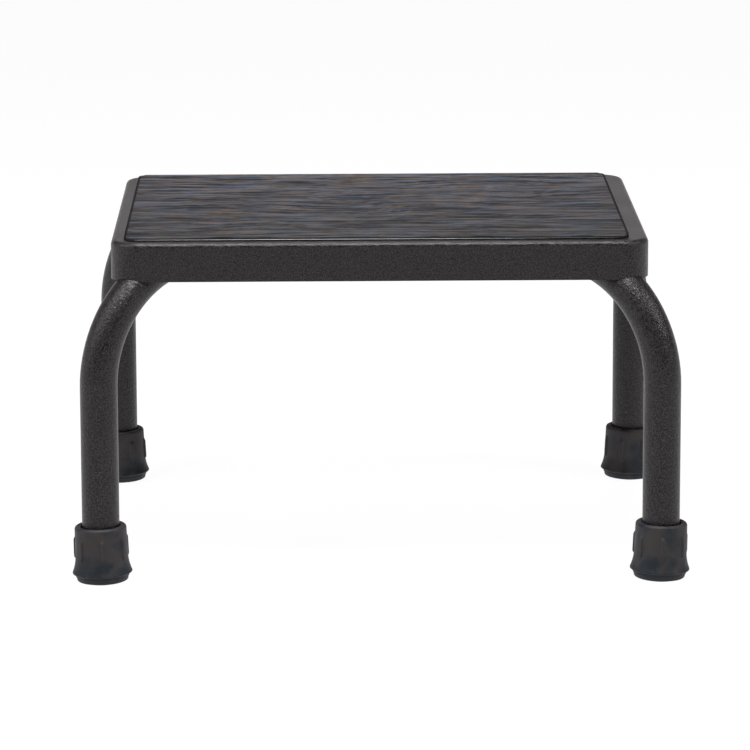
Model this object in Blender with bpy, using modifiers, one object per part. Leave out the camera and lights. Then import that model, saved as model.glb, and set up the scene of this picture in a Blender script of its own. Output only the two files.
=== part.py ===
"""One-step foot stool: a pressed steel platform with a ribbed rubber mat on two crossed tube legs.

Metres, +Z up.  The origin is on the floor under the middle of the platform, +X runs along the
long side and -Y is the front.  Every physical piece is its own named object.
"""
import math

import bmesh
import bpy
from mathutils import Matrix, Vector

MM = 0.001
TOUCH_GAP = 0.3 * MM

# Platform: a shallow pan pressed from sheet, its skirt folded down all round.
PLATFORM_LENGTH = 363.2 * MM
PLATFORM_DEPTH = 287.5 * MM
PLATFORM_TOP = 229.8 * MM
SKIRT_HEIGHT = 26.4 * MM
SHEET = 1.5 * MM
CORNER_RADIUS = 19.0 * MM
CORNER_STEPS = 9
FOLD_RADIUS = 3.5 * MM
FOLD_STEPS = 4
COPE_CLEARANCE = 0.4 * MM

# Rubber mat glued on the platform, a little left of its middle.
MAT_LENGTH = 341.0 * MM
MAT_DEPTH = 270.8 * MM
MAT_THICKNESS = 2.2 * MM
MAT_CORNER = 10.0 * MM
MAT_CORNER_STEPS = 6
MAT_SHIFT_X = -2.2 * MM
MAT_SHIFT_Y = -0.6 * MM

# Leg tubes: each runs up one leg, along a diagonal under the platform and down the other leg.
LEG_SPACING_X = 380.0 * MM
LEG_SPACING_Y = 304.8 * MM
TUBE_RADIUS = 12.7 * MM
TUBE_WALL = 1.5 * MM
BEND_RADIUS = 82.0 * MM
BEND_SQUEEZE = 0.04
BEND_SPREAD = 0.03
BEND_EASE = math.radians(25)
TUBE_SIDES = 24
BEND_STEPS = 12
TUBE_CREASE = math.radians(50)

# Where the tubes cross, each is pressed to half its height so that they nest.
FLAT_HALF_HEIGHT = 6.2 * MM
FLAT_HALF_WIDTH = 16.4 * MM
FLAT_REACH = 22.0 * MM
FLAT_BLEND = 26.0 * MM
FLAT_BLEND_STEPS = 4

# Rubber tips with a steel disc on their floor.
TIP_HEIGHT = 38.3 * MM
TIP_SIDES = 36
BORE_RADIUS = TUBE_RADIUS + TOUCH_GAP
BORE_FLOOR = 7.5 * MM
BORE_CHAMFER = 0.9 * MM
BORE_CHAMFER_DEPTH = 1.2 * MM
LIP_RADIUS = 2.2 * MM
LIP_STEPS = 3
LIP_OUTER = 17.6 * MM
# Outside of the wall, flare and sole below the lip, as (radius, height), going down.
TIP_OUTSIDE = (
    (18.0 * MM, 15.0 * MM),
    (18.7 * MM, 10.5 * MM),
    (20.3 * MM, 6.2 * MM),
    (20.3 * MM, 5.4 * MM),
    (17.9 * MM, 4.6 * MM),
    (17.9 * MM, 1.6 * MM),
    (16.8 * MM, 0.0),
)
DISC_THICKNESS = 2.0 * MM
DISC_RADIUS = 12.4 * MM
DISC_SIDES = 24
FIN_COUNT = 7
FIN_FACING = math.radians(-86)
FIN_WIDTH = 2.9 * MM
FIN_INNER = 16.6 * MM
FIN_OUTER = 19.1 * MM
FIN_TOP = 30.8 * MM
FIN_SHOULDER = 18.0 * MM
FIN_POINT = 14.5 * MM

# Bolts: one near each end of each tube, up through the tube into a weld nut under the sheet.
BOLT_REACH = 120.0 * MM
SHANK_RADIUS = 3.15 * MM
SHANK_SIDES = 12
HEAD_FLATS = 11.0 * MM
HEAD_HEIGHT = 4.2 * MM
HEAD_INSET = 1.0 * MM
LOCK_OUTER = 5.6 * MM
LOCK_INNER = 3.5 * MM
LOCK_HEIGHT = 1.6 * MM
LOCK_SPLIT = 0.9 * MM
LOCK_SIDES = 24
SADDLE_RADIUS = 8.0 * MM
SADDLE_UNDER = 2.0 * MM
SADDLE_UP = 2.6 * MM
SADDLE_SIDES = 24
SADDLE_BAR_SIDES = 48
NUT_FLATS = 11.0 * MM
NUT_HEIGHT = 5.5 * MM
NUT_HOLE = 7.2 * MM
TUBE_HOLE = 3.7 * MM
HOLE_SIDES = 16
HEX_SIDES = 6

# Shading and helper sizes.
CREASE = math.radians(35)
CUT_PAST = 5.0 * MM
MERGE = 0.01 * MM

# Heights that follow from the sizes above.
SHEET_UNDERSIDE = PLATFORM_TOP - SHEET
RUN_HEIGHT = SHEET_UNDERSIDE - TOUCH_GAP - TUBE_RADIUS
TUBE_END = BORE_FLOOR + TOUCH_GAP + DISC_THICKNESS + TOUCH_GAP
TUBE_UNDERSIDE = RUN_HEIGHT - TUBE_RADIUS
SADDLE_BOTTOM = TUBE_UNDERSIDE - TOUCH_GAP - SADDLE_UNDER
LOCK_TOP = SADDLE_BOTTOM - TOUCH_GAP
HEAD_TOP = LOCK_TOP - LOCK_HEIGHT - TOUCH_GAP

HALF_DIAGONAL = math.hypot(LEG_SPACING_X, LEG_SPACING_Y) / 2
DIAGONAL_ANGLE = math.atan2(LEG_SPACING_Y, LEG_SPACING_X)


def clear_scene():
    """Remove every object, so that the script can be run again."""
    for old in list(bpy.data.objects):
        bpy.data.objects.remove(old, do_unlink=True)


def new_collection(name):
    """A collection linked to the scene."""
    group = bpy.data.collections.new(name)
    bpy.context.scene.collection.children.link(group)
    return group


def make_finish(name, colour, roughness, metallic):
    """A Principled material with one colour."""
    result = bpy.data.materials.new(name)
    result.use_nodes = True
    shader = result.node_tree.nodes["Principled BSDF"]
    shader.inputs["Base Color"].default_value = (*colour, 1.0)
    shader.inputs["Roughness"].default_value = roughness
    shader.inputs["Metallic"].default_value = metallic
    return result


def add_mesh(name, bm, group, finish=None, smooth=True):
    """Make an object from a bmesh and free the bmesh."""
    mesh = bpy.data.meshes.new(name)
    bm.to_mesh(mesh)
    bm.free()
    if finish:
        mesh.materials.append(finish)
    if smooth:
        mesh.shade_smooth()
        mesh.set_sharp_from_angle(angle=CREASE)
    result = bpy.data.objects.new(name, mesh)
    group.objects.link(result)
    return result


def add_modifier(piece, kind, **settings):
    """Add a modifier and set its values."""
    modifier = piece.modifiers.new(kind.title(), kind)
    for key, value in settings.items():
        setattr(modifier, key, value)
    return modifier


def hide_cutter(cutter):
    """Mark a solid as a cutter: never rendered, drawn as wire."""
    cutter.hide_render = True
    cutter.display_type = "WIRE"
    return cutter


def cut(piece, cutter):
    """Take the cutter away from the piece."""
    add_modifier(piece, "BOOLEAN", operation="DIFFERENCE", solver="EXACT", object=hide_cutter(cutter))


def join(piece, addition):
    """Join another solid to the piece."""
    add_modifier(piece, "BOOLEAN", operation="UNION", solver="EXACT", object=hide_cutter(addition))


def rod(radius, bottom, top, sides):
    """A bmesh of an upright cylinder or prism between two heights."""
    bm = bmesh.new()
    bmesh.ops.create_cone(
        bm, cap_ends=True, segments=sides, radius1=radius, radius2=radius, depth=top - bottom,
        matrix=Matrix.Translation((0, 0, (bottom + top) / 2)))
    return bm


def rounded_slab(length, depth, bottom, top, corner, segments):
    """A bmesh of a flat slab with its four upright edges rounded."""
    bm = bmesh.new()
    size = Matrix.Diagonal((length, depth, top - bottom, 1.0))
    bmesh.ops.create_cube(bm, size=1.0, matrix=Matrix.Translation((0, 0, (bottom + top) / 2)) @ size)
    upright = [e for e in bm.edges if abs(e.verts[0].co.z - e.verts[1].co.z) > (top - bottom) / 2]
    bmesh.ops.bevel(
        bm, geom=upright, offset=corner, offset_type="OFFSET", affect="EDGES",
        segments=segments, profile=0.5)
    return bm


def make_platform(group, cutters, finish, diagonals):
    """The pressed pan: a rounded lid with a folded edge, opened below and given its thickness."""
    bottom = PLATFORM_TOP - SKIRT_HEIGHT
    bm = rounded_slab(PLATFORM_LENGTH, PLATFORM_DEPTH, bottom, PLATFORM_TOP, CORNER_RADIUS, CORNER_STEPS)
    top_face = max(bm.faces, key=lambda f: f.calc_center_median().z)
    bottom_face = min(bm.faces, key=lambda f: f.calc_center_median().z)
    bmesh.ops.bevel(
        bm, geom=list(top_face.edges), offset=FOLD_RADIUS, offset_type="OFFSET", affect="EDGES",
        segments=FOLD_STEPS, profile=0.5)
    bmesh.ops.delete(bm, geom=[bottom_face], context="FACES_ONLY")
    pan = add_mesh("platform_pan", bm, group, finish)
    add_modifier(pan, "SOLIDIFY", thickness=SHEET, offset=-1.0, use_even_offset=True)
    for index, angle in enumerate(diagonals):
        route = leg_route(PLATFORM_TOP / 2)
        cutter = tube_along(f"cope_cutter_{index}", route, angle, TUBE_RADIUS + COPE_CLEARANCE, cutters)
        oval_bends(cutter.data)
        cut(pan, cutter)
    return pan


def make_mat(group, finish):
    """The rubber mat, flat at the height of its rib crests."""
    bottom = PLATFORM_TOP + TOUCH_GAP
    bm = rounded_slab(MAT_LENGTH, MAT_DEPTH, bottom, bottom + MAT_THICKNESS, MAT_CORNER, MAT_CORNER_STEPS)
    bmesh.ops.translate(bm, verts=bm.verts, vec=(MAT_SHIFT_X, MAT_SHIFT_Y, 0))
    return add_mesh("tread_mat", bm, group, finish)


def crossing_distances():
    """Distances from the crossing, along one side, where the pressed stretch needs a ring."""
    steps = range(FLAT_BLEND_STEPS + 1)
    return [FLAT_REACH / 2] + [FLAT_REACH + FLAT_BLEND * i / FLAT_BLEND_STEPS for i in steps]


def leg_route(start):
    """Points of one tube's centre line in its own upright plane: x along the diagonal, z up."""
    bend_centre = Vector((-HALF_DIAGONAL + BEND_RADIUS, 0, RUN_HEIGHT - BEND_RADIUS))
    half = [Vector((-HALF_DIAGONAL, 0, start))]
    for step in range(BEND_STEPS + 1):
        angle = math.pi / 2 * step / BEND_STEPS
        offset = Vector((-math.cos(angle), 0, math.sin(angle))) * BEND_RADIUS
        half.append(bend_centre + offset)
    half += [Vector((-d, 0, RUN_HEIGHT)) for d in reversed(crossing_distances())]
    other = [Vector((-p.x, 0, p.z)) for p in reversed(half)]
    return half + [Vector((0, 0, RUN_HEIGHT))] + other


def tube_along(name, route, angle, radius, group, capped=True):
    """A round bar, or an open tube skin, along a route turned about Z, as a mesh object."""
    curve = bpy.data.curves.new(name + "_curve", "CURVE")
    curve.dimensions = "3D"
    curve.bevel_depth = radius
    curve.bevel_resolution = TUBE_SIDES // 4 - 2
    curve.use_fill_caps = capped
    spline = curve.splines.new("POLY")
    spline.points.add(len(route) - 1)
    for point, place in zip(spline.points, route):
        point.co = (*place, 1.0)
    guide = bpy.data.objects.new(name + "_guide", curve)
    group.objects.link(guide)
    guide.rotation_euler.z = angle
    bpy.context.view_layer.update()
    evaluated = guide.evaluated_get(bpy.context.evaluated_depsgraph_get())
    mesh = bpy.data.meshes.new_from_object(evaluated)
    mesh.name = name
    bm = bmesh.new()
    bm.from_mesh(mesh)
    bmesh.ops.remove_doubles(bm, verts=bm.verts, dist=MERGE)
    bmesh.ops.recalc_face_normals(bm, faces=bm.faces)
    bm.to_mesh(mesh)
    bm.free()
    result = bpy.data.objects.new(name, mesh)
    result.matrix_world = guide.matrix_world.copy()
    group.objects.link(result)
    bpy.data.objects.remove(guide, do_unlink=True)
    return result


def oval_bends(mesh):
    """Narrow the tube in the plane of each bend and widen it across, as bending without a core does."""
    centre_x = HALF_DIAGONAL - BEND_RADIUS
    centre_z = RUN_HEIGHT - BEND_RADIUS
    for vertex in mesh.vertices:
        across = abs(vertex.co.x) - centre_x
        up = vertex.co.z - centre_z
        if across <= 0 or up <= 0:
            continue
        turn = math.atan2(up, across)
        ease = min(turn, math.pi / 2 - turn) / BEND_EASE
        ease = min(ease, 1.0)
        ease = ease * ease * (3 - 2 * ease)
        reach = math.hypot(across, up)
        new_reach = BEND_RADIUS + (reach - BEND_RADIUS) * (1 - BEND_SQUEEZE * ease)
        vertex.co.x = math.copysign(centre_x + new_reach * math.cos(turn), vertex.co.x)
        vertex.co.z = centre_z + new_reach * math.sin(turn)
        vertex.co.y *= 1 + BEND_SPREAD * ease


def flatness(distance):
    """How far the tube is pressed at a distance from the crossing: 1 fully, 0 not at all."""
    t = min(max((FLAT_REACH + FLAT_BLEND - abs(distance)) / FLAT_BLEND, 0.0), 1.0)
    return t * t * (3 - 2 * t)


def press_middle(mesh, side):
    """Press the tube to half its height where it crosses the other; side is +1 up, -1 down."""
    for vertex in mesh.vertices:
        if abs(vertex.co.x) > FLAT_REACH + FLAT_BLEND:
            continue
        press = flatness(vertex.co.x)
        half_height = TUBE_RADIUS + (FLAT_HALF_HEIGHT - TUBE_RADIUS) * press
        half_width = TUBE_RADIUS + (FLAT_HALF_WIDTH - TUBE_RADIUS) * press
        middle = RUN_HEIGHT + side * (TUBE_RADIUS - half_height)
        vertex.co.z = middle + (vertex.co.z - RUN_HEIGHT) * half_height / TUBE_RADIUS
        vertex.co.y *= half_width / TUBE_RADIUS


def bolt_places(angle):
    """Where the two bolts of one tube stand."""
    direction = Vector((math.cos(angle), math.sin(angle), 0))
    return [direction * -BOLT_REACH, direction * BOLT_REACH]


def make_leg_tube(name, angle, side, group, cutters, finish):
    """One bent tube with its pressed middle, its wall and its bolt holes."""
    tube = tube_along(name, leg_route(TUBE_END), angle, TUBE_RADIUS, group, capped=False)
    oval_bends(tube.data)
    press_middle(tube.data, side)
    tube.data.materials.clear()
    tube.data.materials.append(finish)
    tube.data.shade_smooth()
    tube.data.set_sharp_from_angle(angle=TUBE_CREASE)
    add_modifier(tube, "SOLIDIFY", thickness=TUBE_WALL, offset=-1.0, use_even_offset=True)
    for index, place in enumerate(bolt_places(angle)):
        lower = rod(TUBE_HOLE, TUBE_UNDERSIDE - CUT_PAST, RUN_HEIGHT, HOLE_SIDES)
        upper = rod(NUT_HOLE, RUN_HEIGHT, SHEET_UNDERSIDE + CUT_PAST, HOLE_SIDES)
        for use, drill in (("shank", lower), ("nut", upper)):
            cutter = add_mesh(f"{name}_{use}_cutter_{index}", drill, cutters)
            cutter.location = place
            cut(tube, cutter)
    return tube


def turned(name, points, steps, group, finish, closed=False):
    """An object turned from a half section of (radius, height) points that a Screw takes round Z."""
    bm = bmesh.new()
    verts = [bm.verts.new((radius, 0, height)) for radius, height in points]
    for pair in zip(verts, verts[1:]):
        bm.edges.new(pair)
    if closed:
        bm.edges.new((verts[-1], verts[0]))
    piece = add_mesh(name, bm, group, finish)
    add_modifier(
        piece, "SCREW", axis="Z", angle=2 * math.pi, steps=steps, render_steps=steps,
        use_merge_vertices=True, merge_threshold=MERGE, use_smooth_shade=True)
    return piece


def tip_profile():
    """Half section of a rubber tip, from the bore floor up, over the lip and down to the sole."""
    points = [(0.0, BORE_FLOOR), (BORE_RADIUS, BORE_FLOOR)]
    points.append((BORE_RADIUS, TIP_HEIGHT - BORE_CHAMFER_DEPTH))
    points.append((BORE_RADIUS + BORE_CHAMFER, TIP_HEIGHT))
    for step in range(LIP_STEPS + 1):
        angle = math.pi / 2 * (1 - step / LIP_STEPS)
        radius = LIP_OUTER - LIP_RADIUS + LIP_RADIUS * math.cos(angle)
        points.append((radius, TIP_HEIGHT - LIP_RADIUS + LIP_RADIUS * math.sin(angle)))
    points += TIP_OUTSIDE
    points.append((0.0, 0.0))
    return points


def fin(angle):
    """One upright fin of a tip, pointed below, as a bmesh that reaches into the wall."""
    bm = bmesh.new()
    half = FIN_WIDTH / 2
    outline = [(-half, FIN_TOP), (-half, FIN_SHOULDER), (0, FIN_POINT), (half, FIN_SHOULDER), (half, FIN_TOP)]
    face = bm.faces.new([bm.verts.new((FIN_INNER, across, height)) for across, height in outline])
    extruded = bmesh.ops.extrude_face_region(bm, geom=[face])
    moved = [item for item in extruded["geom"] if isinstance(item, bmesh.types.BMVert)]
    bmesh.ops.translate(bm, verts=moved, vec=(FIN_OUTER - FIN_INNER, 0, 0))
    bmesh.ops.rotate(bm, verts=bm.verts, cent=(0, 0, 0), matrix=Matrix.Rotation(angle, 3, "Z"))
    bmesh.ops.recalc_face_normals(bm, faces=bm.faces)
    return bm


def add_fins(tip, place, facing, cutters):
    """Join the ring of fins to a tip."""
    for index in range(FIN_COUNT):
        angle = facing + 2 * math.pi * index / FIN_COUNT
        addition = add_mesh(f"{tip.name}_fin_{index}", fin(angle), cutters)
        addition.location = place
        join(tip, addition)


def make_tip(corner, place, facing, group, cutters, finishes):
    """A rubber tip and the steel disc that the tube end stands on."""
    tip = turned(f"rubber_tip_{corner}", tip_profile(), TIP_SIDES, group, finishes["rubber"])
    tip.location = place
    add_fins(tip, place, facing, cutters)
    bottom = BORE_FLOOR + TOUCH_GAP
    disc_bm = rod(DISC_RADIUS, bottom, bottom + DISC_THICKNESS, DISC_SIDES)
    disc = add_mesh(f"tip_disc_{corner}", disc_bm, group, finishes["zinc"])
    disc.location = place


def make_bolt(corner, place, group, finishes):
    """A hex-head bolt, pushed up through the tube from below."""
    bm = rod(HEAD_FLATS / math.sqrt(3), HEAD_TOP - HEAD_HEIGHT, HEAD_TOP, HEX_SIDES)
    cap = max(bm.faces, key=lambda f: f.calc_center_median().z)
    inset = bmesh.ops.inset_individual(bm, faces=[cap], thickness=HEAD_INSET)
    bmesh.ops.delete(bm, geom=[cap], context="FACES")
    ring = list({edge for face in inset["faces"] for edge in face.edges if edge.is_boundary})
    top = SHEET_UNDERSIDE - 2 * TOUCH_GAP
    shank = rod(SHANK_RADIUS, HEAD_TOP, top, SHANK_SIDES)
    shank_mesh = bpy.data.meshes.new("shank")
    bmesh.ops.delete(
        shank, geom=[min(shank.faces, key=lambda f: f.calc_center_median().z)], context="FACES_ONLY")
    shank.to_mesh(shank_mesh)
    shank.free()
    bm.from_mesh(shank_mesh)
    bpy.data.meshes.remove(shank_mesh)
    low_ring = [e for e in bm.edges if e.is_boundary and e not in ring]
    bmesh.ops.bridge_loops(bm, edges=ring + low_ring)
    bmesh.ops.recalc_face_normals(bm, faces=bm.faces)
    bolt = add_mesh(f"leg_bolt_{corner}", bm, group, finishes["zinc"])
    bolt.location = place


def washer_profile(inner, outer, bottom, top):
    """Half section of a flat ring, its outer side going down."""
    return [(inner, bottom), (inner, top), (outer, top), (outer, bottom)]


def make_lock_washer(corner, place, group, cutters, finishes):
    """A split spring washer between the bolt head and the saddle."""
    profile = washer_profile(LOCK_INNER, LOCK_OUTER, LOCK_TOP - LOCK_HEIGHT, LOCK_TOP)
    washer = turned(f"lock_washer_{corner}", profile, LOCK_SIDES, group, finishes["zinc"], closed=True)
    washer.location = place
    gap = bmesh.new()
    size = Matrix.Diagonal((LOCK_OUTER, LOCK_SPLIT, LOCK_HEIGHT * 2, 1.0))
    middle = ((LOCK_INNER + LOCK_OUTER) / 2, 0, LOCK_TOP - LOCK_HEIGHT / 2)
    bmesh.ops.create_cube(gap, size=1.0, matrix=Matrix.Translation(middle) @ size)
    cutter = add_mesh(f"split_cutter_{corner}", gap, cutters)
    cutter.location = place
    cut(washer, cutter)


def make_saddle(corner, place, angle, group, cutters, finishes):
    """A saddle washer: flat below, hollowed above to the round of the tube."""
    profile = washer_profile(TUBE_HOLE, SADDLE_RADIUS, SADDLE_BOTTOM, TUBE_UNDERSIDE + SADDLE_UP)
    saddle = turned(f"saddle_washer_{corner}", profile, SADDLE_SIDES, group, finishes["zinc"], closed=True)
    saddle.location = place
    bar = rod(TUBE_RADIUS + TOUCH_GAP, -SADDLE_RADIUS * 2, SADDLE_RADIUS * 2, SADDLE_BAR_SIDES)
    bmesh.ops.rotate(bar, verts=bar.verts, cent=(0, 0, 0), matrix=Matrix.Rotation(math.pi / 2, 3, "Y"))
    bmesh.ops.rotate(bar, verts=bar.verts, cent=(0, 0, 0), matrix=Matrix.Rotation(angle, 3, "Z"))
    cutter = add_mesh(f"saddle_cutter_{corner}", bar, cutters)
    cutter.location = place + Vector((0, 0, RUN_HEIGHT))
    cut(saddle, cutter)


def make_nut(corner, place, group, cutters, finishes):
    """A weld nut on the underside of the sheet, standing in the tube's upper hole."""
    top = SHEET_UNDERSIDE - TOUCH_GAP
    hexagon = rod(NUT_FLATS / math.sqrt(3), top - NUT_HEIGHT, top, HEX_SIDES)
    nut = add_mesh(f"weld_nut_{corner}", hexagon, group, finishes["zinc"])
    nut.location = place
    bore = rod(SHANK_RADIUS + TOUCH_GAP, top - NUT_HEIGHT - MM, top + MM, SHANK_SIDES)
    cutter = add_mesh(f"nut_cutter_{corner}", bore, cutters)
    cutter.location = place
    cut(nut, cutter)


def main():
    """Build the whole stool."""
    clear_scene()
    group = new_collection("foot_stool")
    cutters = new_collection("cutters")
    finishes = {
        "steel": make_finish("textured black powder coat", (0.030, 0.029, 0.029), 0.55, 0.0),
        "mat": make_finish("ribbed black rubber", (0.035, 0.037, 0.040), 0.45, 0.0),
        "rubber": make_finish("moulded black rubber", (0.018, 0.020, 0.023), 0.60, 0.0),
        "zinc": make_finish("zinc plated steel", (0.55, 0.56, 0.57), 0.35, 1.0),
    }
    tubes = {"leg_tube_upper": (DIAGONAL_ANGLE, 1), "leg_tube_lower": (-DIAGONAL_ANGLE, -1)}

    make_platform(group, cutters, finishes["steel"], [angle for angle, side in tubes.values()])
    make_mat(group, finishes["mat"])
    for name, (angle, side) in tubes.items():
        make_leg_tube(name, angle, side, group, cutters, finishes["steel"])

    corners = {"front_left": (-1, -1), "front_right": (1, -1), "rear_left": (-1, 1), "rear_right": (1, 1)}
    for corner, (sign_x, sign_y) in corners.items():
        foot = Vector((sign_x * LEG_SPACING_X / 2, sign_y * LEG_SPACING_Y / 2, 0))
        facing = FIN_FACING if sign_y < 0 else FIN_FACING + math.pi / FIN_COUNT
        make_tip(corner, foot, facing, group, cutters, finishes)
        angle = DIAGONAL_ANGLE if sign_x == sign_y else -DIAGONAL_ANGLE
        place = Vector((sign_x * math.cos(DIAGONAL_ANGLE), sign_y * math.sin(DIAGONAL_ANGLE), 0)) * BOLT_REACH
        make_bolt(corner, place, group, finishes)
        make_lock_washer(corner, place, group, cutters, finishes)
        make_saddle(corner, place, angle, group, cutters, finishes)
        make_nut(corner, place, group, cutters, finishes)


main()
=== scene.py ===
"""Looks of the one-step foot stool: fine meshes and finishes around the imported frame.

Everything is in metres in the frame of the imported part: +Z up, -Y the front, the floor at zero.
"""

import math

import bmesh
import bpy
from mathutils import Matrix, Vector


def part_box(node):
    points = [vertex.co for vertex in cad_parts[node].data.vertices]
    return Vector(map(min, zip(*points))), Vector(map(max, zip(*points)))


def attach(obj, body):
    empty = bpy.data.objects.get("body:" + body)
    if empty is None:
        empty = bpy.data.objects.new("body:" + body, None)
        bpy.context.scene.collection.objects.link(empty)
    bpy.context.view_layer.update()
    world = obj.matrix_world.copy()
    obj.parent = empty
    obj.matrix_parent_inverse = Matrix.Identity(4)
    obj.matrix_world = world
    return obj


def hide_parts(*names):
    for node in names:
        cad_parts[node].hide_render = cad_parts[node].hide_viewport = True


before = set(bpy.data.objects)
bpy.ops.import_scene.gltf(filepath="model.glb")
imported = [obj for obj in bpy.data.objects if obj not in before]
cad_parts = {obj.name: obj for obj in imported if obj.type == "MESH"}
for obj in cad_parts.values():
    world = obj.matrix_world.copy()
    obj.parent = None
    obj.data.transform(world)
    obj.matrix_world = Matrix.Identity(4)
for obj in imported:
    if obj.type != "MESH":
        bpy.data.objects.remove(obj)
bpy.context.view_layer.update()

MM = 0.001
MERGE_DISTANCE = 0.005 * MM
# Only edges sharper than this are rounded by a bevel that finishes a piece.
CREASE_ANGLE = math.radians(50)
# Which side of the middle each corner is on: -1 left, 1 right.
CORNER_SIDES = {"front_left": -1, "front_right": 1, "rear_left": -1, "rear_right": 1}

# Pressed platform.
CORNER_RADIUS = 19.0 * MM
CORNER_STEPS = 20
FOLD_RADIUS = 3.5 * MM
FOLD_STEPS = 8
SHEET = 1.5 * MM
COPE_CLEARANCE = 0.4 * MM
COPE_FOOT = 60.0 * MM
CUT_EDGE_ROUND = 0.3 * MM

# Leg tubes: bent without a core, pressed flat where they cross and drilled for the bolts.
TUBE_RADIUS = 12.7 * MM
TUBE_WALL = 1.5 * MM
TUBE_SIDES = 72
BEND_RADIUS = 82.0 * MM
BEND_STEPS = 28
BEND_SQUEEZE = 0.04
BEND_SPREAD = 0.03
BEND_EASE = math.radians(25)
FLAT_HALF_HEIGHT = 6.2 * MM
FLAT_HALF_WIDTH = 16.4 * MM
FLAT_REACH = 22.0 * MM
FLAT_BLEND = 26.0 * MM
FLAT_STEPS = 32
BOLT_REACH = 120.0 * MM
LOWER_HOLE_RADIUS = 3.7 * MM
UPPER_HOLE_RADIUS = 7.2 * MM
DRILL_LENGTH = 20.0 * MM
DRILL_SIDES = 40

# Ribbed mat: a low bead and a riser along the front, then the ribs.
RIB_COUNT = 78
RIB_DEPTH = 0.9 * MM
RIB_SQUARENESS = 2.2
RIB_SHARES = (0.0, 0.12, 0.28, 0.5, 0.72, 0.88)
CREST_SHARE = 0.5
BEAD_RADIUS = 0.75 * MM
BEAD_DROP = 1.25 * MM
BEAD_STEPS = 10
BEAD_GROOVE = 0.4 * MM
BEAD_GROOVE_DEPTH = 1.8 * MM
RISER_ROUND = 0.9 * MM
RISER_STEPS = 6
MAT_OVERRUN = 1.0 * MM
MAT_CORNER = 10.0 * MM
MAT_CORNER_STEPS = 12
MAT_EDGE_ROUND = 0.5 * MM
MAT_EDGE_STEPS = 3
TRIM_CLEARANCE = Vector((0, 0.01 * MM, 0.02 * MM))

# Rubber tips, the section in millimetres.
BORE_RADIUS = 13.1
BORE_CHAMFER = 0.5
BORE_FLOOR = 7.5
LIP_START = 34.5
LIP_RADIUS = 2.2
LIP_HEIGHT = 36.1
LIP_STEPS = 8
WALL_TOP_RADIUS = 17.6
WALL_FOOT_RADIUS = 18.0
WALL_FOOT_HEIGHT = 16.0
WALL_STEPS = 44
FLARE_RADIUS = 20.3
FLARE_HEIGHT = 6.2
FLARE_SAG = 0.45
FLARE_STEPS = 22
SOLE_RINGS = (15.0, 12.0, 9.0, 6.0)
SOLE_GROOVE_DEPTH = 0.9
TIP_LEAN = math.radians(1.8)
TIP_PIVOT = 28.0 * MM

# Grip fins round each tip: straight down to the shoulder, then drawn in to a point.
FIN_COUNT = 7
FIN_STEPS = 32
FIN_HALF_WIDTH = 1.45 * MM
FIN_PROUD = 1.1 * MM
FIN_FLANK = 0.45 * MM
FIN_TOP = 31.4 * MM
FIN_TOP_SLOPE = 3.2 * MM
FIN_SHOULDER = 18.5 * MM
FIN_POINT = 14.3 * MM
FIN_INNER_LIMIT = 16.5 * MM
FIN_FACING = {
    "front_left": -84.7, "front_right": -89.2, "rear_left": -60.3, "rear_right": -60.3}

# Hex bolts, standing head down: heights are measured up from the outer face of the head.
HEAD_RADIUS = 6.35 * MM
HEAD_DEPTH = 4.0 * MM
CHAMFER_RADIUS = 5.1 * MM
CHAMFER_DEPTH = 5.0 * MM
CHAMFER_SPREAD = 10.0 * MM
CHAMFER_SIDES = 64
FACE_RADIUS = 5.2 * MM
FACE_START = 3.6 * MM
FACE_END = 4.2 * MM
SHANK_RADIUS = 3.15 * MM
SHANK_END_RADIUS = 2.6 * MM
SHANK_TAPER_START = 33.2 * MM
SHANK_END = 33.8 * MM
SHANK_SIDES = 40

# Split spring washers.
SPRING_INNER = 3.5 * MM
SPRING_OUTER = 5.6 * MM
SPRING_LOW = 0.1 * MM
SPRING_HIGH = 1.4 * MM
SPRING_TURN = math.radians(350)
SPRING_OFFSET = 0.1 * MM
SPRING_STEPS = 60
SPRING_EDGE_ROUND = 0.15 * MM

# Floor: its half size, and how brightly it glows far in front and from the stool back, with the
# two places along Y between which the one fades into the other.
FLOOR_HALF_SIZE = 30.0
FLOOR_GLOW = (0.82, 0.965)
FLOOR_FADE = (-1.2, -0.65)

# Soft lights: name, place, the point they look at, width and depth, and watts.
LIGHTS = (
    ("middle softbox", (-0.03, -0.5, 1.6), (0, 0, 0.2), (0.36, 0.4), 27.0),
    ("left softbox", (-0.95, -0.6, 1.35), (0, 0, 0.2), (0.3, 0.3), 7.0),
    ("right softbox", (1.3, -0.5, 1.15), (0, 0, 0.2), (0.3, 0.3), 9.0),
    ("rear softbox", (0.0, 0.9, 1.5), (0, 0, 0.2), (0.8, 0.5), 5.0),
    ("side softbox", (-1.5, -0.3, 0.8), (0, 0, 0.15), (0.5, 0.5), 4.0))

# Camera: angles round and above the aim, roll, distance, and lens in millimetres.
CAMERA_TURN = math.radians(-0.76)
CAMERA_RISE = math.radians(11.73)
CAMERA_ROLL = math.radians(-0.18)
CAMERA_AIM = Vector((-1.85 * MM, 0, 109.1 * MM))
CAMERA_DISTANCE = 3.0851
CAMERA_LENS = 208.8
CAMERA_SENSOR = 36.0
CAMERA_RANGE = 50.0


# ---------------------------------------------------------------- places read from the frame

def middle(node):
    """The middle of a CAD node's box."""
    low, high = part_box(node)
    return (low + high) / 2


PAN_LOW, PAN_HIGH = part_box("platform_pan")
RUN_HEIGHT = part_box("leg_tube_upper")[1].z - TUBE_RADIUS
LEG = middle("rubber_tip_rear_right")
MAT_LOW, MAT_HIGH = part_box("tread_mat")
MAT_MIDDLE = (MAT_LOW + MAT_HIGH) / 2
MAT_HALF = (MAT_HIGH - MAT_LOW) / 2
HALF_DIAGONAL = math.hypot(LEG.x, LEG.y)
DIAGONAL_ANGLE = math.atan2(LEG.y, LEG.x)


# ---------------------------------------------------------------- mesh helpers

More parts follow.
